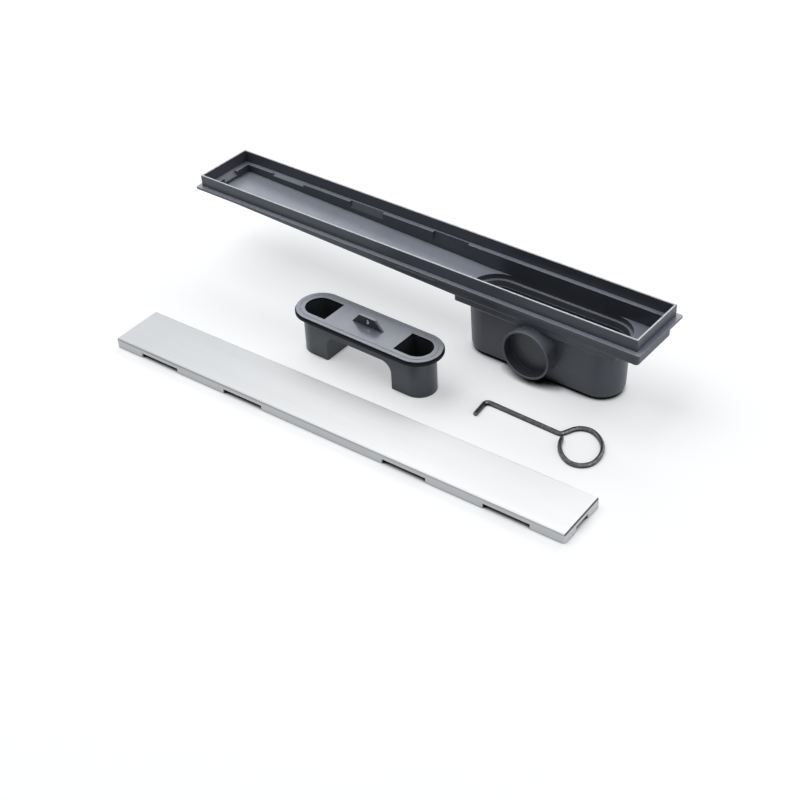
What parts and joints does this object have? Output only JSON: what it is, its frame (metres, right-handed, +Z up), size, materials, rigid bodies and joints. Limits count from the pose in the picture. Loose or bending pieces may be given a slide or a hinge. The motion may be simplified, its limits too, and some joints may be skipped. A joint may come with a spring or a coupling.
{
  "type": "floor drain",
  "caption": "Linear shower floor drain laid out in its pieces: long channel with a sump and side outlet, trap insert with a rubber seal, plain steel cover and wire lifting hook.",
  "frame": {"origin": "on the floor, at the middle of the box round the whole laid-out set", "axes": "+X along the channel towards its deep end, +Y away from the outlet's side, +Z up"},
  "size_m": [0.6052, 0.274, 0.1],
  "materials": {
    "channel_plastic": "satin moulded, slate grey",
    "insert_plastic": "satin moulded, slate grey",
    "seal_rubber": "matt black",
    "cover_steel": "fine brushed along its length",
    "hook_steel": "dull drawn wire"
  },
  "bodies": {
    "root": {"channel_body": "channel_plastic", "trap_insert": "insert_plastic", "trap_seal": "seal_rubber", "cover_plate": "cover_steel", "lifting_hook": "hook_steel"}
  },
  "joints": []
}
